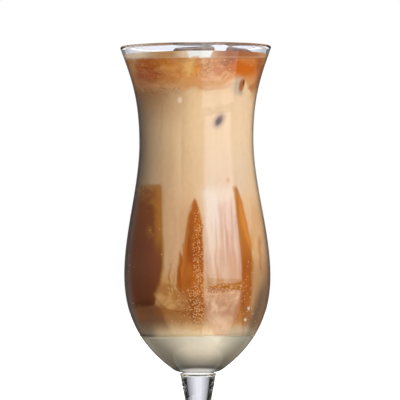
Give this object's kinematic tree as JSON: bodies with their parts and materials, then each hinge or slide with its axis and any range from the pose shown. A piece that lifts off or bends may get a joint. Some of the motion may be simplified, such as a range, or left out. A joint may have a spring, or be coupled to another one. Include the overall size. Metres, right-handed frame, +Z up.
{
  "type": "iced milk coffee in a stemmed glass",
  "caption": "tall waisted glass on a short stem, filled with layered iced coffee and milk, with lumps of ice at the surface; stands on a flat foot",
  "frame": {"origin": "middle of the foot's underside, on the surface that the glass stands on", "axes": "+Z up along the glass's axis, -Y towards the side that the picture shows, +X to its right"},
  "size_m": [0.08, 0.08, 0.206],
  "materials": {
    "glass": "clear smooth blown glass",
    "milk": "opaque cream coloured milk, liquid",
    "clear_coffee": "dark amber coffee, clear liquid",
    "milky_coffee": "light tan milky coffee, cloudy liquid",
    "top_coffee": "orange brown coffee, part mixed liquid",
    "ice": "wet melting ice, rounded edges"
  },
  "bodies": {
    "root": {"glass": "glass", "milk_layer": "milk", "coffee_lower": "clear_coffee", "coffee_milky": "milky_coffee", "coffee_top": "top_coffee", "ice_front": "ice", "ice_side": "ice"}
  },
  "joints": []
}
